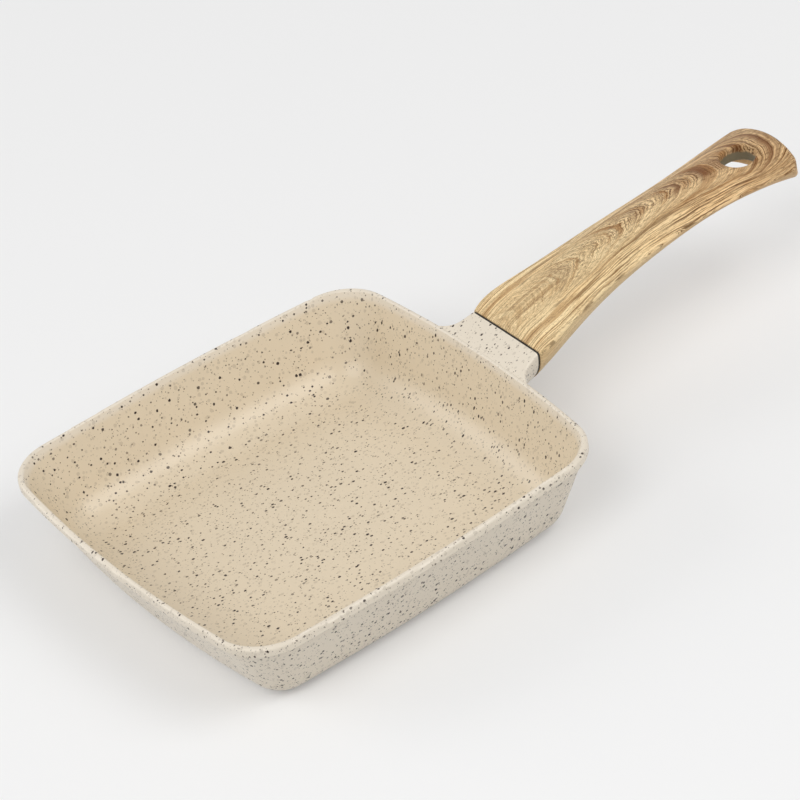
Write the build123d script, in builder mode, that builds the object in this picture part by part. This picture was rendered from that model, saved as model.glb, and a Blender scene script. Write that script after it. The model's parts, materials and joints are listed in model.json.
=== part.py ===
from build123d import *
from math import cos, radians, sin, tan
import os

# Tamagoyaki pan in millimetres. +X runs from the pan along the handle, +Z is up,
# and the origin is the centre of the pan's underside.

# Pan outline seen from above: four bowed sides, a little wider at the front
pan_length = 180.0
front_width = 177.0
back_width = 168.4
end_bow = 6.0
side_bow = 3.2
corner_radius = 22.0
wall_corner_draw_share = 0.7
cove_corner_draw_share = 0.3

# Pan section: flared wall, one round sweep into the floor, and a flat-sided rim
pan_height = 37.7
rim_height = 4.4
rim_overhang = 1.5
rim_rounding = 1.5
rim_under_rounding = 1.0
lip_rounding = 0.8
wall_draft = 21.5
wall_thickness = 2.0
floor_thickness = 3.6
bottom_radius = 15.0
cove_radius = 18.5

# Steel plate pressed into the underside, its holes filled by studs of the casting
plate_radius = 54.0
plate_thickness = 1.0
plate_hole_radius = 2.0
plate_hole_counts = (8, 14, 20)
plate_ring_pitch = 13.0
fit_gap = 0.05

# Neck cast in one with the pan: its end carries the handle, its root is inside the rim
neck_reach = 10.9
neck_root = 11.0
neck_half_width = 21.6
neck_top = 41.1
neck_depth = 20.5
neck_crown = 0.2
neck_edge_rounding = 1.2

# Tang on the neck's end, and the gasket round it
tang_length = 28.0
tang_width = 17.0
tang_thickness = 6.0
tang_corner = 1.6
tang_rise = 17.0
tang_drop = 6.2
gasket_thickness = 1.0
gasket_setback = 0.2
slip = 0.15

# Handle
grip_length = 140.4
grip_half_width = 22.3
grip_rise = 14.8
grip_depth = 21.7
grip_crown = 4.2
grip_edge_rounding = 1.3
tail_half_width = 20.7
tail_bulge = 3.0
tail_corner = 7.5
tail_rounding = 1.6
hole_radius = 7.4
hole_setback = 18.5
hole_rounding = 1.0
dish_radius = 12.5
dish_rounding = 1.5
dish_roof = 7.8
overrun = 5.0

# Screw from below, through the handle into the tang, with its two washers
screw_radius = 2.5
screw_length = 10.0
screw_setback = 14.0
screw_clearance = 0.25
head_radius = 4.4
head_height = 2.6
head_rounding = 0.8
cross_width = 1.0
cross_span = 4.6
cross_depth = 1.5
washer_radius = 5.0
washer_thickness = 1.0
spring_washer_radius = 4.4
spring_washer_thickness = 1.2
spring_washer_split = 0.8
recess_radius = 6.2
seat_wall = 3.0

os.makedirs("parts", exist_ok=True)

# How far the drafted wall runs in for its height, and its thickness measured level
draft_run = tan(radians(wall_draft))
wall_span = wall_thickness / cos(radians(wall_draft))
wall_top = pan_height - rim_height

neck_end = pan_length / 2 + neck_reach
grip_start = neck_end + gasket_thickness
grip_end = grip_start + grip_length
dish_level = neck_top + grip_rise + grip_crown - dish_roof


def pan_outline(height, inset=0, corner_draw_share=0):
    """The pan's outline on a level plane, drawn inwards by inset with its corners tightened."""
    half_length = pan_length / 2 - end_bow - inset
    front = front_width / 2 - inset
    back = back_width / 2 - inset
    side = (front + back) / 2 + side_bow
    end = half_length + end_bow
    with BuildSketch(Plane.XY.offset(height), mode=Mode.PRIVATE) as outline:
        with BuildLine():
            ThreePointArc((-half_length, front), (0, side), (half_length, back))
            ThreePointArc((half_length, back), (end, 0), (half_length, -back))
            ThreePointArc((half_length, -back), (0, -side), (-half_length, -front))
            ThreePointArc((-half_length, -front), (-end, 0), (-half_length, front))
        make_face()
        fillet(outline.vertices(), corner_radius - corner_draw_share * inset)
    return outline.sketch


def bowl(wall_inset, floor, top, radius, corner_draw_share):
    """A solid bowl shape: a drafted wall up to top, rounded into a flat floor.

    wall_inset is how far the wall stands in from the rim's outline at the rim's underside.
    """
    with BuildPart(mode=Mode.PRIVATE) as block:
        for height in (floor, top):
            inset = wall_inset + (wall_top - height) * draft_run
            add(pan_outline(height, inset, corner_draw_share))
        loft(ruled=True)
        fillet(block.edges().group_by(Axis.Z)[0], radius)
    return block.part


def plate_holes(radius):
    """Circles at the holes of the steel plate."""
    with BuildSketch(Plane.XY, mode=Mode.PRIVATE) as holes:
        for ring, count in enumerate(plate_hole_counts, start=1):
            with PolarLocations(ring * plate_ring_pitch, count):
                Circle(radius)
    return holes.sketch


def handle_section(x, half_width, edge_height, depth, crown, rounding):
    """Cross-section of the neck or handle: a crowned top over a half-oval underside."""
    plane = Plane(origin=(x, 0, edge_height), x_dir=(0, 1, 0), z_dir=(1, 0, 0))
    with BuildSketch(plane, mode=Mode.PRIVATE) as section:
        with BuildLine():
            ThreePointArc((-half_width, 0), (0, crown), (half_width, 0))
            EllipticalCenterArc((0, 0), half_width, depth, start_angle=180, arc_size=180)
        make_face()
        fillet(section.vertices(), rounding)
    return section.sketch


# The tang's own plane: its origin on the neck's end, its normal rising along the handle
tang_plane = Plane(
    origin=(neck_end, 0, neck_top - tang_drop),
    x_dir=(0, 1, 0),
    z_dir=(cos(radians(tang_rise)), 0, sin(radians(tang_rise))),
)


def tang_block(grow):
    """The tang with its foot inside the neck, or its socket where it is grown all round."""
    with BuildPart(mode=Mode.PRIVATE) as block:
        with BuildSketch(tang_plane.offset(-tang_thickness)):
            RectangleRounded(tang_width + 2 * grow, tang_thickness + 2 * grow, tang_corner + grow)
        extrude(amount=tang_thickness + tang_length + grow)
    return block.part


# The screw's axis, square to the tang, and the levels of its stack below the tang's face
screw_plane = Plane(
    origin=tang_plane.from_local_coords((0, -tang_thickness / 2, screw_setback)),
    x_dir=(0, 1, 0),
    z_dir=tang_plane.y_dir,
)
seat_level = -slip - seat_wall
washer_level = seat_level - washer_thickness
spring_washer_level = washer_level - spring_washer_thickness

# Pan body: rim and bowl, then the neck and the hollow, then the tang
with BuildPart() as pan_body:
    add(pan_outline(wall_top))
    extrude(amount=rim_height)
    fillet(pan_body.edges().group_by(Axis.Z)[-1], rim_rounding)
    fillet(pan_body.edges().group_by(Axis.Z)[0], rim_under_rounding)
    add(bowl(rim_overhang, 0, pan_height - rim_height / 2, bottom_radius, wall_corner_draw_share))

    # Neck stations from its end back to its root, where it is lower than the rim's lip
    neck_back_shares = (0.0, 0.20, 0.40, 0.58, 0.76, 1.0)
    neck_width_shares = (1.0, 1.04, 1.14, 1.48, 1.9, 2.2)
    neck_drop_shares = (0.0, 0.06, 0.125, 0.195, 0.25, 0.34)
    neck_depth_shares = (1.0, 0.98, 0.95, 0.9, 0.85, 0.8)
    neck_crown_shares = (1.0, 0.75, 0.5, 0.25, 0.15, 0.1)
    neck_sections = []
    for back, width, drop, depth, crown in zip(
            neck_back_shares, neck_width_shares, neck_drop_shares, neck_depth_shares, neck_crown_shares):
        neck_sections.append(handle_section(
            neck_end - back * (neck_reach + neck_root), neck_half_width * width,
            neck_top - neck_depth * drop, neck_depth * depth, neck_crown * crown, neck_edge_rounding))
    loft(neck_sections)

    cavity = bowl(rim_overhang + wall_span, floor_thickness, pan_height + overrun,
                  cove_radius, cove_corner_draw_share)
    add(cavity, mode=Mode.SUBTRACT)
    lip_edges = pan_body.edges(Select.NEW).filter_by_position(
        Axis.Z, pan_height - rim_rounding, pan_height + rim_rounding)
    fillet(lip_edges, lip_rounding)

    add(tang_block(0))
    with BuildSketch(Plane.XY):
        Circle(plate_radius + fit_gap)
    extrude(amount=plate_thickness, mode=Mode.SUBTRACT)
    add(plate_holes(plate_hole_radius - fit_gap))
    extrude(amount=plate_thickness)
    with BuildSketch(screw_plane):
        Circle(screw_radius + fit_gap)
    extrude(amount=tang_thickness, mode=Mode.SUBTRACT)
pan_body.part.label = "pan_body"
export_step(pan_body.part, "parts/pan_body.step")

with BuildPart() as induction_plate:
    with BuildSketch(Plane.XY):
        Circle(plate_radius)
        add(plate_holes(plate_hole_radius), mode=Mode.SUBTRACT)
    extrude(amount=plate_thickness)
induction_plate.part.label = "induction_plate"
export_step(induction_plate.part, "parts/induction_plate.step")

with BuildPart() as neck_gasket:
    add(handle_section(
        neck_end, neck_half_width - gasket_setback, neck_top - gasket_setback,
        neck_depth - 2 * gasket_setback, neck_crown, neck_edge_rounding))
    extrude(amount=gasket_thickness, dir=(1, 0, 0))
    add(tang_block(slip), mode=Mode.SUBTRACT)
neck_gasket.part.label = "neck_gasket"
export_step(neck_gasket.part, "parts/neck_gasket.step")

# Handle stations along its length, the last one past its end for the tail to be cut from
station_shares = (0.0, 0.056, 0.155, 0.32, 0.483, 0.647, 0.811, 0.98, 1.06)
width_shares = (0.98, 1.01, 0.92, 0.80, 0.747, 0.733, 0.822, 0.925, 0.96)
rise_shares = (0.024, 0.246, 0.446, 0.686, 0.845, 0.951, 1.0, 1.015, 0.99)
depth_shares = (0.965, 0.93, 0.804, 0.593, 0.455, 0.365, 0.34, 0.58, 0.70)
crown_shares = (0.05, 0.18, 0.38, 0.72, 0.93, 1.0, 1.0, 1.05, 1.1)
with BuildPart() as handle_grip:
    grip_sections = []
    for station, width, rise, depth, crown in zip(
            station_shares, width_shares, rise_shares, depth_shares, crown_shares):
        grip_sections.append(handle_section(
            grip_start + station * grip_length, grip_half_width * width, neck_top + grip_rise * rise,
            grip_depth * depth, grip_crown * crown, grip_edge_rounding))
    loft(grip_sections)

    # The tail's end seen from above: a bowed end between two rounded corners
    tail = grip_end - tail_bulge
    root = grip_start - overrun
    with BuildSketch(Plane.XY) as tail_plan:
        with BuildLine():
            ThreePointArc((tail, -tail_half_width), (grip_end, 0), (tail, tail_half_width))
            Polyline(
                (tail, tail_half_width), (root, tail_half_width + overrun),
                (root, -tail_half_width - overrun), (tail, -tail_half_width))
        make_face()
        fillet(tail_plan.vertices().group_by(Axis.X)[-1], tail_corner)
    extrude(amount=neck_top + grip_rise + grip_crown + overrun, mode=Mode.INTERSECT)
    tail_edges = handle_grip.edges().filter_by(
        lambda edge: min((edge @ 0).X, (edge @ 1).X) > tail - tail_corner - tail_bulge)
    fillet(tail_edges, tail_rounding)

    # The underside is dished round the hanging hole, and the dish's roof is level
    with BuildSketch(Plane.XY.offset(dish_level)):
        with Locations((grip_end - hole_setback, 0)):
            Circle(dish_radius)
    extrude(amount=-dish_level, mode=Mode.SUBTRACT)
    dish_rim = handle_grip.edges(Select.NEW)
    fillet(handle_grip.faces().filter_by(Axis.Z).edges(), dish_rounding)
    fillet(dish_rim, hole_rounding)

    with BuildSketch(Plane.XY):
        with Locations((grip_end - hole_setback, 0)):
            Circle(hole_radius)
    extrude(amount=neck_top + grip_rise + grip_crown + overrun, mode=Mode.SUBTRACT)
    hole_rims = [edge for edge in handle_grip.edges(Select.NEW) if edge.is_closed]
    fillet(hole_rims, hole_rounding)

    add(tang_block(slip), mode=Mode.SUBTRACT)
    with BuildSketch(screw_plane.offset(seat_level)):
        Circle(screw_radius + screw_clearance)
    extrude(amount=seat_wall, mode=Mode.SUBTRACT)
    with BuildSketch(screw_plane.offset(seat_level)):
        Circle(recess_radius)
    extrude(amount=-grip_depth, mode=Mode.SUBTRACT)
handle_grip.part.label = "handle_grip"
export_step(handle_grip.part, "parts/handle_grip.step")

with BuildPart() as handle_screw:
    with BuildSketch(screw_plane.offset(spring_washer_level)):
        Circle(head_radius)
    extrude(amount=-head_height)
    head_face = handle_screw.faces().sort_by(Axis(screw_plane.origin, screw_plane.z_dir))[0]
    fillet(head_face.edges(), head_rounding)
    with BuildSketch(screw_plane.offset(spring_washer_level - head_height)):
        Rectangle(cross_span, cross_width)
        Rectangle(cross_width, cross_span)
    extrude(amount=cross_depth, mode=Mode.SUBTRACT)
    with BuildSketch(screw_plane.offset(spring_washer_level)):
        Circle(screw_radius)
    extrude(amount=screw_length)
handle_screw.part.label = "handle_screw"
export_step(handle_screw.part, "parts/handle_screw.step")

with BuildPart() as flat_washer:
    with BuildSketch(screw_plane.offset(washer_level)):
        Circle(washer_radius)
        Circle(screw_radius + screw_clearance, mode=Mode.SUBTRACT)
    extrude(amount=washer_thickness)
flat_washer.part.label = "flat_washer"
export_step(flat_washer.part, "parts/flat_washer.step")

with BuildPart() as spring_washer:
    with BuildSketch(screw_plane.offset(spring_washer_level)):
        Circle(spring_washer_radius)
        Circle(screw_radius + screw_clearance, mode=Mode.SUBTRACT)
        with Locations((spring_washer_radius / 2, 0)):
            Rectangle(spring_washer_radius, spring_washer_split, mode=Mode.SUBTRACT)
    extrude(amount=spring_washer_thickness)
spring_washer.part.label = "spring_washer"
export_step(spring_washer.part, "parts/spring_washer.step")
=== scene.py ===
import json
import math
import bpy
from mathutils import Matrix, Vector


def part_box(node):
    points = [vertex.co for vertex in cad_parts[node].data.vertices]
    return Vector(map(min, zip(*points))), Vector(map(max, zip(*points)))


bl_info = {
    "name": "Tamagoyaki pan",
    "version": (1, 0, 0),
    "blender": (4, 5, 0),
    "location": "3D View > Sidebar > Pan",
    "description": "Finishes a speckled tamagoyaki pan and its wood-look handle, and sets its stage",
    "category": "Material",
}

import bpy
from bpy.props import FloatProperty, FloatVectorProperty, PointerProperty
from mathutils import Matrix, Vector

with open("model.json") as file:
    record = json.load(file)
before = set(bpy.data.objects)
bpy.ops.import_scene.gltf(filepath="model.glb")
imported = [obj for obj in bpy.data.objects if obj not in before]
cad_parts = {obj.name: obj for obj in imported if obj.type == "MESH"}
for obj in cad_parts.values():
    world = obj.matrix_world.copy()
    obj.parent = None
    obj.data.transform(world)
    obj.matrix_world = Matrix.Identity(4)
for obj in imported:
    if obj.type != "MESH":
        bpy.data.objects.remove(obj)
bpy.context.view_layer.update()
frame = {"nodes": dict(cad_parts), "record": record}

MM = 0.001
MOUNTS = {mount["name"]: mount for mount in frame["record"]["mounts"]}

# Shares of the handle's length at which its width and the height of its edges are read
GRIP_SHARES = (0.0, 0.1, 0.25, 0.4, 0.55, 0.7, 0.82, 0.93)
# The axis that the print's arches stand on: shares of the length, and its place across in mm
AXIS_SHARES = (0.0, 0.3, 0.6, 0.75, 0.9)
AXIS_OFFSETS = (3.5, 3.0, 4.5, 3.0, 0.0)
# Late wood: the place of an arch along the handle, and how dark it is
ARCHES = (
    (0.0, 0.05), (0.19, 0.1), (0.245, 0.55), (0.255, 0.05), (0.47, 0.08), (0.52, 0.6),
    (0.53, 0.05), (0.63, 0.1), (0.665, 0.9), (0.675, 0.08), (0.715, 0.2), (0.755, 0.9),
    (0.77, 0.15), (0.82, 0.75), (0.835, 0.1), (0.885, 0.25), (0.905, 0.8), (0.915, 0.1),
    (0.940, 0.15), (0.965, 1.0), (0.975, 0.2), (0.985, 0.75), (0.992, 0.1), (1.0, 0.1))

# Each soft lamp: its direction from the pan, and its power against the others
LAMPS = {
    "right_lamp": ((0.394, -0.584, 0.71), 1.32),
    "left_lamp": ((-0.57, -0.255, 0.78), 1.1),
    "back_lamp": ((-0.585, 0.71, 0.394), 0.9),
}
# How far the floor reaches each way, and how far it lies below the pan's underside
FLOOR_REACH = 4.0
FLOOR_DROP = 0.05 * MM


class Value:
    """A shader socket that can stand in a sum, where each sign adds a Math node."""

    def __init__(self, tree, node, output):
        self.tree = tree
        self.node = node
        self.socket = node.outputs[output]

    def maths(self, operation, *others):
        return self.tree.maths(operation, self, *others)

    def __add__(self, other):
        return self.tree.maths("ADD", self, other)

    def __radd__(self, other):
        return self.tree.maths("ADD", other, self)

    def __sub__(self, other):
        return self.tree.maths("SUBTRACT", self, other)

    def __rsub__(self, other):
        return self.tree.maths("SUBTRACT", other, self)

    def __mul__(self, other):
        return self.tree.maths("MULTIPLY", self, other)

    def __rmul__(self, other):
        return self.tree.maths("MULTIPLY", other, self)

    def __truediv__(self, other):
        return self.tree.maths("DIVIDE", self, other)

    def __rtruediv__(self, other):
        return self.tree.maths("DIVIDE", other, self)

    def __pow__(self, other):
        return self.tree.maths("POWER", self, other)

    def __neg__(self):
        return self.tree.maths("MULTIPLY", self, -1)

    def __abs__(self):
        return self.tree.maths("ABSOLUTE", self)

    def rising(self, low, high):
        """0 below low and 1 above high, with a smooth rise between them."""
        return self.tree.add(
            "ShaderNodeMapRange", {"interpolation_type": "SMOOTHSTEP"},
            {"Value": self, "From Min": low, "From Max": high})

    def toward(self, other, share):
        """This number where the share is 0, and the other one where it is 1."""
        return self + share * (other - self)

    def output(self, name):
        """Another output of the same node."""
        return Value(self.tree, self.node, name)


class Tree:
    """The nodes of one material, or of the world, and the shader node that it comes with."""

    def __init__(self, owner, shader="Principled BSDF"):
        owner.use_nodes = True
        self.owner = owner
        self.nodes = owner.node_tree.nodes
        self.links = owner.node_tree.links
        self.shader = self.nodes[shader]

    def add(self, kind, settings, sockets, output=0):
        """Adds a node: its settings first, then the values or links of its sockets."""
        node = self.nodes.new(kind)
        for name, setting in settings.items():
            if name == "stops":
                place_stops(node.color_ramp, *setting)
            else:
                setattr(node, name, setting)
        for key, value in sockets.items():
            self.feed(node.inputs[key], value)
        return Value(self, node, output)

    def feed(self, socket, value):
        """Links a socket to a Value, or sets it to plain numbers."""
        if isinstance(value, Value):
            self.links.new(value.socket, socket)
        else:
            socket.default_value = value

    def finish(self, **sockets):
        """Sets or links the shader's own sockets, named with underscores for spaces."""
        for name, value in sockets.items():
            self.feed(self.shader.inputs[name.replace("_", " ")], value)
        return self.owner

    def maths(self, operation, *values):
        return self.add("ShaderNodeMath", {"operation": operation}, dict(enumerate(values)))

    def vector_maths(self, operation, *values):
        return self.add("ShaderNodeVectorMath", {"operation": operation}, dict(enumerate(values)))

    def place(self):
        """The point on the piece, in the frame's millimetres."""
        point = self.add("ShaderNodeTexCoord", {}, {}, "Object")
        return self.add(
            "ShaderNodeVectorMath", {"operation": "SCALE"}, {"Vector": point, "Scale": 1 / MM})

    def parts(self, vector):
        """The X, Y and Z of a vector."""
        split = self.add("ShaderNodeSeparateXYZ", {}, {0: vector})
        return split, split.output("Y"), split.output("Z")

    def join(self, x, y, z):
        return self.add("ShaderNodeCombineXYZ", {}, {0: x, 1: y, 2: z})

    def mix(self, factor, start, end, blend="MIX"):
        """A colour between two others."""
        return self.add(
            "ShaderNodeMix", {"data_type": "RGBA", "blend_type": blend},
            {0: factor, 6: start, 7: end}, 2)

    def noise(self, vector, scale, detail=2.0, roughness=0.5):
        return self.add(
            "ShaderNodeTexNoise", {},
            {"Vector": vector, "Scale": scale, "Detail": detail, "Roughness": roughness})

    def line_noise(self, along, scale, detail=2.0, roughness=0.5):
        """Noise that changes along one number only."""
        return self.add(
            "ShaderNodeTexNoise", {"noise_dimensions": "1D"},
            {"W": along, "Scale": scale, "Detail": detail, "Roughness": roughness})

    def ramp(self, factor, stops, interpolation="LINEAR"):
        """A number for each place from 0 to 1, read between the stops."""
        grey = self.add("ShaderNodeValToRGB", {"stops": (stops, interpolation)}, {0: factor})
        return self.parts(grey)[0]

    def bump(self, height, distance):
        """A normal for small relief, this deep in metres where the height is 1."""
        return self.add("ShaderNodeBump", {}, {"Height": height, "Distance": distance})

    def picture_ray(self):
        """1 for rays of the camera, off gloss or through glass, and 0 for those that light."""
        path = self.add("ShaderNodeLightPath", {}, {}, "Is Camera Ray")
        seen = path.maths("MAXIMUM", path.output("Is Glossy Ray"))
        return seen.maths("MAXIMUM", path.output("Is Transmission Ray"))


def new_material(name):
    return Tree(bpy.data.materials.new(name))


def place_stops(ramp, stops, interpolation):
    """Gives a ramp its stops, each a position and a grey, and how it runs between them."""
    ramp.interpolation = interpolation
    while len(ramp.elements) < len(stops):
        ramp.elements.new(1)
    for element, (position, grey) in zip(ramp.elements, stops):
        element.position = position
        element.color = (grey, grey, grey, 1)


def dress(material, *nodes):
    """Gives CAD nodes a material."""
    for name in nodes:
        piece = frame["nodes"][name]
        piece.data.materials.clear()
        piece.data.materials.append(material)


def flecks(tree, point, spacing, share, radius, turn, stretch):
    """How dark the flecks of one size make each point, from 0 to 1.

    A fleck lies in that share of the cells, which are one spacing wide before they are turned
    and stretched, so that the layers' flecks lie and lengthen in different ways.
    """
    laid = tree.add(
        "ShaderNodeMapping", {}, {"Vector": point, "Rotation": turn, "Scale": stretch})
    spot = tree.add("ShaderNodeTexVoronoi", {}, {"Vector": laid, "Scale": 1 / spacing})
    chance, size, tone = tree.parts(spot.output("Color"))
    relative = radius / spacing
    # Squared, so that most flecks are small and a few are large
    reach = relative * (0.35 + 1.1 * size * size)
    rough_edge = (tree.noise(point, 1.6 / radius, 2) - 0.5) * (1.1 * relative)
    inside = (reach - spot + rough_edge).rising(0, 0.12 * relative)
    present = (share - chance).maths("GREATER_THAN", 0)
    return inside * present * (0.60 + 0.80 * tone).maths("MINIMUM", 1)


def rim_height():
    """Height of the pan's rim in millimetres, where it stands clear of the neck."""
    mesh = frame["nodes"]["pan_body"].data
    return max(vertex.co.z for vertex in mesh.vertices if vertex.co.x < 0) / MM


def coating(settings):
    """The pan's sprayed coating: warm inside, cooler outside, with dark flecks all over."""
    tree = new_material("speckled_coating")
    point = tree.place()
    x, y, z = tree.parts(point)
    normal = tree.add("ShaderNodeNewGeometry", {}, {}, "Normal")
    up = tree.parts(normal)[2]

    # Faces that look up or towards the middle, below the rim, are the inside. The rim and the top
    # few millimetres of the inside take the paler outside colour, partly as the outside coating and
    # partly as painted light on the rim that faces up.
    outward = tree.vector_maths("NORMALIZE", tree.join(x, y, 0))
    away = tree.vector_maths("DOT_PRODUCT", normal, outward).output("Value")
    rim = rim_height()
    below_rim = 1 - z.rising(rim - 4.5, rim - 1.5)
    inner = up.rising(0.0, 0.1) * (1 - away.rising(0.05, 0.45)) * below_rim
    outer = 1 - up.rising(-0.1, 0.3)

    cloud = tree.noise(point, 0.035, 3)
    grit = tree.noise(point, 3.2, 3, 0.6)
    base = tree.mix(inner, settings.outer_colour, settings.inner_colour)
    base = tree.mix((cloud - 0.35) * 0.22, base, settings.shade_colour)
    base = tree.mix((grit - 0.4) * 0.20, base, settings.shade_colour)

    # The outside walls have more flecks than the inside
    size = settings.fleck_size / MM
    more = outer * 0.3
    coarse = flecks(
        tree, point, spacing=4.2 * size, share=0.55 + more, radius=size,
        turn=(0.5, 0.9, 0.4), stretch=(0.95, 1.25, 0.9))
    crossed = flecks(
        tree, point, spacing=3.8 * size, share=0.50 + more, radius=0.8 * size,
        turn=(1.9, 0.2, 2.3), stretch=(0.85, 1.2, 1.0))
    smudge = flecks(
        tree, point, spacing=3.6 * size, share=0.75, radius=1.3 * size,
        turn=(0.3, 1.4, 1.1), stretch=(1.0, 1.25, 0.9))
    fine = flecks(
        tree, point, spacing=1.9 * size, share=0.42 + more, radius=0.5 * size,
        turn=(1.1, 0.6, 2.0), stretch=(1.0, 1.1, 1.0))
    dark = coarse.maths("MAXIMUM", crossed)
    base = tree.mix(smudge * 0.20, base, settings.faint_fleck_colour)
    base = tree.mix(fine * 0.75, base, settings.faint_fleck_colour)

    orange_peel = tree.noise(point, 1.1, 2)
    relief = orange_peel + grit * 0.35 + dark * 0.5
    return tree.finish(
        Base_Color=tree.mix(dark, base, settings.fleck_colour),
        Roughness=0.33 + (cloud - 0.5) * 0.08 + (grit - 0.5) * 0.12 + dark * 0.08,
        Normal=tree.bump(relief, settings.relief),
        Specular_IOR_Level=0.5)


def cross_cuts(name, stations):
    """Half-width of a node and the height of its widest points, where planes across X cut it."""
    mesh = frame["nodes"][name].data
    cuts = []
    for station in stations:
        points = []
        for edge in mesh.edges:
            start, end = (mesh.vertices[index].co for index in edge.vertices)
            if (start.x - station) * (end.x - station) < 0:
                points.append(start.lerp(end, (station - start.x) / (end.x - start.x)))
        widest = max(points, key=lambda point: point.y)
        cuts.append((widest.y / MM, widest.z / MM))
    return cuts


def along_grip(tree, share, shares, values):
    """A number that changes along the handle, as a smooth line through the values."""
    scale = 2 * max(values)
    stops = [(position, value / scale) for position, value in zip(shares, values)]
    return tree.ramp(share, stops, "CARDINAL") * scale


class GripPlace:
    """Where each point of the handle lies: in mm, along it, across the print and underneath."""

    def __init__(self, tree):
        self.tree = tree
        low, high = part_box("handle_grip")
        self.start, self.length = low.x / MM, (high.x - low.x) / MM
        self.x, self.y, self.z = tree.parts(tree.place())
        self.share = (self.x - self.start) / self.length

        just_inside = 0.002
        cuts = cross_cuts("handle_grip", [
            (self.start + max(share, just_inside) * self.length) * MM for share in GRIP_SHARES])
        half = along_grip(tree, self.share, GRIP_SHARES, [cut[0] for cut in cuts])
        edge_height = along_grip(tree, self.share, GRIP_SHARES, [cut[1] for cut in cuts])
        self.below = edge_height - self.z
        self.under = self.below.rising(0.2, 1.6)

        # How far out from the arches' axis: 0 on it, 1 at the handle's edge, more beneath
        axis = along_grip(tree, self.share, AXIS_SHARES, AXIS_OFFSETS)
        offset = self.y - axis + (self.figure(0.03, 0.05) - 0.5) * 4.0
        self.right = -offset / (half + axis)
        across = (offset / (half - axis)).maths("MAXIMUM", self.right)
        turned = 2 - abs(self.y) / half + 0.6 * self.below / half
        self.across = across.toward(turned, self.under)

    def figure(self, along, across, detail=2, roughness=0.5):
        """Noise that changes about so many times a millimetre along and across the handle."""
        point = self.tree.join(self.x * along, self.y * across, self.z * across)
        return self.tree.noise(point, 1.0, detail, roughness)


def arch_rings(at):
    """Where on the axis the arch through each point stands, in mm, and the lines' unevenness."""
    # The limbs trail back towards the pan, further on the right and less near the tail
    trail = (20 - 9 * at.share.rising(0.45, 1.0)) * (1 + 0.9 * at.right.rising(0.0, 0.7))
    bend = 1.35 + 1.4 * at.share.rising(0.55, 1.0)
    curved_part = 0.9
    inner = at.across.maths("MINIMUM", curved_part)
    limb = -(1 - inner ** bend).maths("LOGARITHM", math.e)
    limb = limb + (at.across - curved_part).maths("MAXIMUM", 0) * 8

    calm = 1 - 0.7 * at.share.rising(0.55, 0.85)
    waver = (at.figure(0.10, 0.22) - 0.5) * 5.0 * calm
    jitter = (at.figure(0.45, 0.8) - 0.5) * 3.0 * calm
    uneven = waver + jitter
    return at.x + limb * trail + uneven, uneven


def growth_lines(tree, at, ring, uneven):
    """Broad veins and fine threads, and how far they have straightened into streaks."""
    broad = tree.line_noise(ring, 0.16, 3, 0.7)
    narrow = tree.line_noise(ring, 0.95, 3, 0.9)
    vein = (0.50 - broad).rising(-0.01, 0.12)
    thread = (0.51 - narrow).rising(0.0, 0.06)

    # Near the axis the lines follow the arches, and towards the edges they run straight
    edge = at.across.rising(0.35, 0.75) + 0.6 * (1 - at.share.rising(0.05, 0.35))
    edge = edge.maths("MINIMUM", 1) * (1 - at.share.rising(0.80, 0.95))
    lane = at.across * 20 + uneven * 0.10
    streak = tree.noise(tree.join(at.x * 0.012, lane * 0.42, lane * 0.13), 1.0, 4, 0.7)
    hair = tree.noise(tree.join(at.x * 0.02, lane * 1.2, 0), 1.0, 3, 0.85)
    vein = vein.toward((0.50 - streak).rising(-0.01, 0.11), edge)
    thread = thread.toward((0.51 - hair).rising(0.0, 0.06), edge)
    return vein * (1 - 0.35 * at.share.rising(0.7, 0.9)), thread, edge


def late_wood(tree, at, ring):
    """Dark late wood at chosen arches, sharp towards the tail and fading towards the pan."""
    arches = tree.ramp((ring - at.start) / at.length, ARCHES)
    crown = 1 - at.across.rising(0.10, 0.60) * (0.85 - 0.65 * at.share.rising(0.75, 0.9))
    return arches * crown


def bare_hole(tree, at):
    """1 on the plain moulding inside the hanging hole, below the film's ragged end."""
    hole = MOUNTS["hanging_hole"]
    centre, radius = hole["pos_m"][0] / MM, hole["dims"]["r_mm"]
    distance = tree.vector_maths(
        "DISTANCE", tree.join(at.x, at.y, 0), (centre, 0, 0)).output("Value")
    inside = 1 - distance.rising(radius + 0.15, radius + 0.5)
    ragged = (tree.noise(tree.join(at.x * 0.8, at.y * 0.8, at.z * 0.3), 1.0, 2) - 0.5) * 2
    return inside * (at.below + ragged).rising(-2.0, -0.7)


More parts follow.
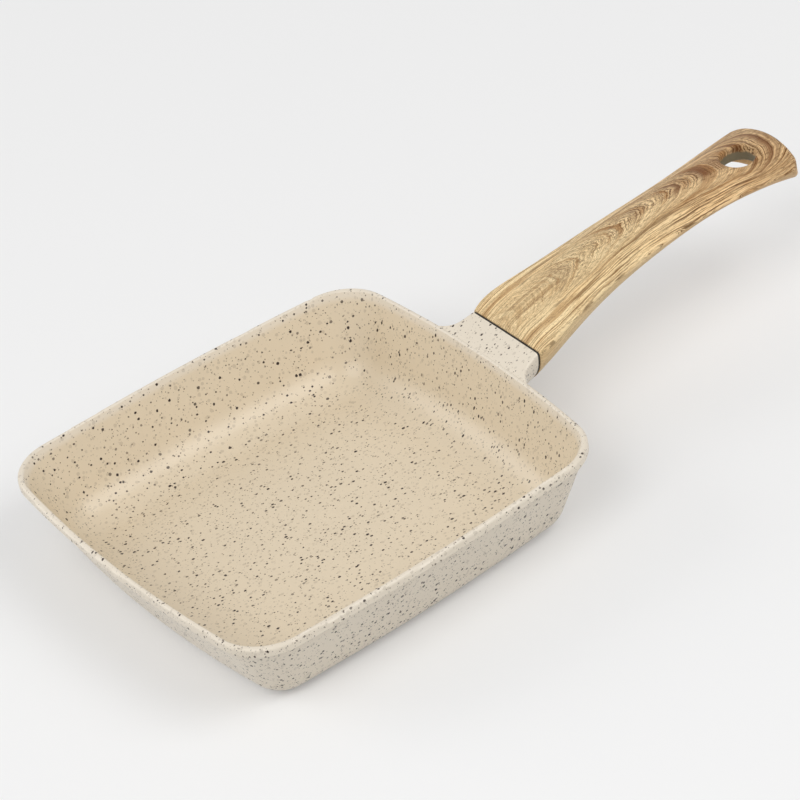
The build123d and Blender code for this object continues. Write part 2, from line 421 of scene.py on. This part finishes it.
def wood_print(settings):
    """The wood-grain film on the handle: nested arches that open towards the pan."""
    tree = new_material("wood_print")
    at = GripPlace(tree)
    ring, uneven = arch_rings(at)
    vein, thread, edge = growth_lines(tree, at, ring, uneven)

    # Fibres run along the handle, with short commas and pores among them
    fibre = at.figure(0.06, 1.2, 3, 0.65)
    comma = at.figure(0.38, 0.95, 2, 0.6).rising(0.5, 0.68)
    pore = at.figure(0.35, 3.4, 1).rising(0.58, 0.66)
    patch = at.figure(0.06, 0.12).rising(0.3, 0.65)

    # The print is strongest near the tail, weaker in a pale lane beside the axis and on the sides
    lane = at.right.rising(0.12, 0.3) * (1 - at.right.rising(0.42, 0.6))
    pale = lane * at.share.rising(0.2, 0.35) * (1 - at.share.rising(0.8, 0.9))
    strength = 0.66 + 0.34 * at.share.rising(0.1, 0.75)
    strength = strength * (1 - 0.45 * pale) * (1 - 0.7 * at.under)

    colour = tree.mix(patch * 0.45 * (1 - pale), settings.light_wood, settings.warm_wood)
    for cover, wood in (
            (vein * 0.9 * strength, settings.vein_wood),
            (thread * 0.9 * strength, settings.thread_wood),
            (late_wood(tree, at, ring) * 0.9 * strength, settings.dark_wood),
            (comma * 0.5 * (1 - edge) * (1 - at.under), settings.thread_wood),
            ((fibre - 0.35) * 0.4, settings.vein_wood),
            (pore * 0.4, settings.dark_wood),
            # Beneath the edges the print is plainer, and a painted shade darkens the sides that face
            # down
            (at.under * 0.35, settings.side_wood_and_shade)):
        colour = tree.mix(cover, colour, wood)
    colour = tree.mix(at.share.rising(0.25, 0.85), colour, settings.tail_tint, "MULTIPLY")
    colour = tree.mix(bare_hole(tree, at), colour, settings.bare_moulding)

    grain = vein * 0.5 + thread * 0.6 + pore
    return tree.finish(
        Base_Color=colour,
        Roughness=0.38 + grain * 0.06 + (fibre - 0.5) * 0.10,
        Normal=tree.bump(-grain, settings.relief),
        Specular_IOR_Level=0.2)


def silicone(settings):
    """Soft black rubber with a faint dusty bloom."""
    tree = new_material("black_silicone")
    point = tree.place()
    bloom = tree.noise(point, 0.9, 4, 0.7)
    colour = tree.mix(bloom.rising(0.45, 0.8) * 0.5, settings.rubber_colour, settings.bloom_colour)
    return tree.finish(
        Base_Color=colour,
        Roughness=0.55 + (bloom - 0.5) * 0.25,
        Normal=tree.bump(tree.noise(point, 4.0, 2), settings.rubber_relief))


def turned_steel(settings):
    """Pressed steel sheet with the rings that turning leaves on it."""
    tree = new_material("turned_steel")
    point = tree.place()
    x, y = tree.parts(point)[:2]
    rings = tree.line_noise((x * x + y * y) ** 0.5, 2.6, 4, 0.75).rising(0.3, 0.7)
    smear = tree.noise(point, 0.05, 3)
    colour = tree.mix(rings, settings.steel_colour, settings.steel_shade)
    return tree.finish(
        Base_Color=tree.mix(smear * 0.3, colour, settings.steel_shade),
        Metallic=1.0,
        Roughness=0.24 + rings * 0.22 + smear * 0.08,
        Normal=tree.bump(rings, settings.ring_relief))


def plated_steel(settings):
    """Zinc-plated screw and washers, slightly clouded."""
    tree = new_material("plated_steel")
    point = tree.place()
    cloud = tree.noise(point, 0.6, 4, 0.6)
    return tree.finish(
        Base_Color=tree.mix(cloud, settings.steel_colour, settings.steel_shade),
        Metallic=1.0,
        Roughness=0.24 + cloud * 0.2,
        Normal=tree.bump(tree.noise(point, 3.0, 3), settings.plating_relief))


def colour_property(name, description, default):
    return FloatVectorProperty(
        name=name, description=description, default=(*default, 1.0), size=4, subtype="COLOR",
        min=0, max=1)


def length_property(name, description, default):
    return FloatProperty(
        name=name, description=description, default=default, unit="LENGTH", precision=5)


class PanCoatingSettings(bpy.types.PropertyGroup):
    """The pan's coating"""

    fleck_size: length_property("Fleck size", "Radius of a common dark fleck", 0.5 * MM)
    relief: length_property("Relief", "Depth of the sprayed coating's texture", 0.02 * MM)
    inner_colour: colour_property("Inside", "Coating inside the pan", (0.72, 0.61, 0.45))
    outer_colour: colour_property("Outside", "Coating outside and on the neck", (0.77, 0.69, 0.57))
    shade_colour: colour_property("Shade", "Darker cloud in the coating", (0.52, 0.44, 0.34))
    fleck_colour: colour_property("Flecks", "Large dark flecks", (0.020, 0.007, 0.002))
    faint_fleck_colour: colour_property("Faint flecks", "Fine flecks", (0.08, 0.045, 0.022))


class PanGripSettings(bpy.types.PropertyGroup):
    """The handle's wood-grain film"""

    relief: length_property("Relief", "Depth of the pressed grain", 0.03 * MM)
    light_wood: colour_property("Light wood", "Ground of the print", (1.0, 0.79, 0.46))
    warm_wood: colour_property("Warm wood", "Warmer patches", (0.86, 0.60, 0.30))
    vein_wood: colour_property("Veins", "Broad growth lines", (0.35, 0.155, 0.032))
    thread_wood: colour_property("Threads", "Fine growth lines", (0.11, 0.045, 0.006))
    dark_wood: colour_property("Late wood", "Darkest arches", (0.12, 0.032, 0.004))
    # Plainer print of the sides, darkened with painted shade
    side_wood_and_shade: colour_property("Sides", "Plainer tone of the sides", (0.50, 0.33, 0.16))
    tail_tint: colour_property("Tail tint", "Tint towards the tail", (0.97, 0.88, 0.82))
    bare_moulding: colour_property("Moulding", "Plain plastic in the hole", (0.20, 0.165, 0.10))


class PanFittingsSettings(bpy.types.PropertyGroup):
    """The gasket, the screw set and the steel disc"""

    rubber_relief: length_property("Rubber relief", "Depth of the gasket's texture", 0.01 * MM)
    ring_relief: length_property("Ring relief", "Depth of the disc's turned rings", 0.02 * MM)
    plating_relief: length_property("Plating relief", "Depth of the plating's grain", 0.006 * MM)
    rubber_colour: colour_property("Rubber", "Gasket", (0.009, 0.007, 0.006))
    bloom_colour: colour_property("Bloom", "Dusty bloom on the gasket", (0.035, 0.030, 0.026))
    steel_colour: colour_property("Steel", "Bright steel", (0.66, 0.65, 0.63))
    steel_shade: colour_property("Steel shade", "Darker steel", (0.42, 0.41, 0.40))


class PanStageSettings(bpy.types.PropertyGroup):
    """Camera, floor and light"""

    floor_colour: colour_property("Floor", "Floor", (0.72, 0.72, 0.72))
    floor_shade: colour_property("Floor shade", "Faint cloud in the floor", (0.55, 0.55, 0.55))
    floor_glow: colour_property(
        "Floor glow", "What makes the floor paler in the picture", (0.17, 0.17, 0.17))
    sky_colour: colour_property("Sky colour", "Sky in the picture", (0.92, 0.92, 0.92))
    sky_strength: FloatProperty(
        name="Sky", description="Strength of the even light from all round", default=0.49, min=0)
    lamp_power: FloatProperty(
        name="Lamps", description="Power of a soft lamp, before its own share", default=17.6,
        min=0, subtype="POWER")
    lamp_size: length_property("Lamp size", "Side of each square lamp", 1.48)
    lamp_distance: length_property("Lamp distance", "From each lamp to the pan", 2.6)
    camera_distance: length_property("Camera distance", "From the point looked at", 2.00327)
    camera_lens: FloatProperty(
        name="Lens", description="Focal length in millimetres", default=222.91)
    camera_azimuth: FloatProperty(
        name="Azimuth", description="Way that the camera faces, from +X towards +Y",
        default=math.radians(60.977), subtype="ANGLE")
    camera_elevation: FloatProperty(
        name="Elevation", description="Height of the camera above the horizon",
        default=math.radians(35.727), subtype="ANGLE")
    camera_roll: FloatProperty(
        name="Roll", description="Turn of the camera about its own line of sight",
        default=math.radians(-12.242), subtype="ANGLE")
    camera_target: FloatVectorProperty(
        name="Point looked at", description="Point of the frame in the middle of the picture",
        default=(0.073998, 0.046404, 0.0), subtype="TRANSLATION", unit="LENGTH")


class PAN_OT_coat_body(bpy.types.Operator):
    """Coat the pan's body"""

    bl_idname = "pan.coat_body"
    bl_label = "Pan body"

    def execute(self, context):
        dress(coating(context.scene.pan_coating), "pan_body")
        return {"FINISHED"}


class PAN_OT_print_grip(bpy.types.Operator):
    """Wrap the handle in its wood-grain film"""

    bl_idname = "pan.print_grip"
    bl_label = "Handle"

    def execute(self, context):
        dress(wood_print(context.scene.pan_grip), "handle_grip")
        return {"FINISHED"}


class PAN_OT_finish_gasket(bpy.types.Operator):
    """Give the gasket its rubber"""

    bl_idname = "pan.finish_gasket"
    bl_label = "Neck gasket"

    def execute(self, context):
        dress(silicone(context.scene.pan_fittings), "neck_gasket")
        return {"FINISHED"}


class PAN_OT_finish_base(bpy.types.Operator):
    """Give the steel disc in the underside its turned finish"""

    bl_idname = "pan.finish_base"
    bl_label = "Induction plate"

    def execute(self, context):
        dress(turned_steel(context.scene.pan_fittings), "induction_plate")
        return {"FINISHED"}


class PAN_OT_finish_screw(bpy.types.Operator):
    """Plate the handle's screw and its washers"""

    bl_idname = "pan.finish_screw"
    bl_label = "Screw and washers"

    def execute(self, context):
        dress(
            plated_steel(context.scene.pan_fittings),
            "handle_screw", "spring_washer", "flat_washer")
        return {"FINISHED"}


def add_lamp(settings, name, direction, share):
    """A square white lamp that faces the pan from one direction."""
    lamp = bpy.data.lights.new(name, "AREA")
    lamp.shape = "SQUARE"
    lamp.size = settings.lamp_size
    lamp.energy = settings.lamp_power * share
    holder = bpy.data.objects.new(name, lamp)
    toward = Vector(direction).normalized()
    holder.location = toward * settings.lamp_distance
    holder.rotation_euler = (-toward).to_track_quat("-Z", "Y").to_euler()
    bpy.context.scene.collection.objects.link(holder)


def add_floor(settings):
    """A wide pale floor under the pan, which glows a little in the picture but lights nothing."""
    mesh = bpy.data.meshes.new("floor")
    corners = [
        (FLOOR_REACH * x, FLOOR_REACH * y, 0) for x, y in ((-1, -1), (1, -1), (1, 1), (-1, 1))]
    mesh.from_pydata(corners, [], [(0, 1, 2, 3)])
    floor = bpy.data.objects.new("floor", mesh)
    floor.location.z = -FLOOR_DROP
    bpy.context.scene.collection.objects.link(floor)
    tree = new_material("pale_floor")
    cloud = tree.noise(tree.place(), 0.004, 2)
    floor.data.materials.append(tree.finish(
        Base_Color=tree.mix(cloud * 0.04, settings.floor_colour, settings.floor_shade),
        Roughness=0.9,
        Specular_IOR_Level=0.0,
        Emission_Color=tree.mix(tree.picture_ray(), (0, 0, 0, 1), settings.floor_glow),
        Emission_Strength=1.0))


def add_sky(settings):
    """Even light from all round, which is paler in the picture than what it lights with."""
    tree = Tree(bpy.data.worlds.new("pale_room"), "Background")
    light = (settings.sky_strength, settings.sky_strength, settings.sky_strength, 1)
    bpy.context.scene.world = tree.finish(
        Color=tree.mix(tree.picture_ray(), light, settings.sky_colour), Strength=1.0)


def add_camera(settings):
    """The camera, placed by its distance and angles from the point it looks at."""
    azimuth, elevation = settings.camera_azimuth, settings.camera_elevation
    roll = settings.camera_roll
    back = Vector((
        -math.cos(azimuth) * math.cos(elevation),
        -math.sin(azimuth) * math.cos(elevation),
        math.sin(elevation)))
    right = (-back).cross(Vector((0, 0, 1))).normalized()
    up = right.cross(-back)
    turned_right = right * math.cos(roll) + up * math.sin(roll)
    turned_up = up * math.cos(roll) - right * math.sin(roll)
    lens = bpy.data.cameras.new("camera")
    lens.lens = settings.camera_lens
    camera = bpy.data.objects.new("camera", lens)
    turn = Matrix((turned_right, turned_up, back)).transposed().to_4x4()
    place = Vector(settings.camera_target) + back * settings.camera_distance
    camera.matrix_world = Matrix.Translation(place) @ turn
    bpy.context.scene.collection.objects.link(camera)
    bpy.context.scene.camera = camera


class PAN_OT_set_stage(bpy.types.Operator):
    """Set the floor, the light and the camera"""

    bl_idname = "pan.set_stage"
    bl_label = "Stage"

    def execute(self, context):
        settings = context.scene.pan_stage
        add_floor(settings)
        add_sky(settings)
        for name, (direction, share) in LAMPS.items():
            add_lamp(settings, name, direction, share)
        add_camera(settings)
        context.scene.view_settings.view_transform = "Standard"
        return {"FINISHED"}


class PAN_PT_sidebar(bpy.types.Panel):
    """Lists the pan's operators and settings"""

    bl_label = "Tamagoyaki pan"
    bl_idname = "PAN_PT_sidebar"
    bl_space_type = "VIEW_3D"
    bl_region_type = "UI"
    bl_category = "Pan"

    def draw(self, context):
        for operator in OPERATORS:
            self.layout.operator(operator.bl_idname)
        for name, group in SETTINGS.items():
            box = self.layout.box()
            box.label(text=group.__doc__)
            for field in group.__annotations__:
                box.prop(getattr(context.scene, name), field)


SETTINGS = {
    "pan_coating": PanCoatingSettings,
    "pan_grip": PanGripSettings,
    "pan_fittings": PanFittingsSettings,
    "pan_stage": PanStageSettings,
}
OPERATORS = (
    PAN_OT_coat_body,
    PAN_OT_print_grip,
    PAN_OT_finish_gasket,
    PAN_OT_finish_base,
    PAN_OT_finish_screw,
    PAN_OT_set_stage,
)


def register():
    for group in (*SETTINGS.values(), *OPERATORS, PAN_PT_sidebar):
        bpy.utils.register_class(group)
    for name, group in SETTINGS.items():
        setattr(bpy.types.Scene, name, PointerProperty(type=group))


def unregister():
    for name in SETTINGS:
        delattr(bpy.types.Scene, name)
    for group in (PAN_PT_sidebar, *OPERATORS, *SETTINGS.values()):
        bpy.utils.unregister_class(group)


def main():
    register()
    bpy.ops.pan.coat_body()
    bpy.ops.pan.print_grip()
    bpy.ops.pan.finish_gasket()
    bpy.ops.pan.finish_base()
    bpy.ops.pan.finish_screw()
    bpy.ops.pan.set_stage()


if __name__ == "__main__":
    main()
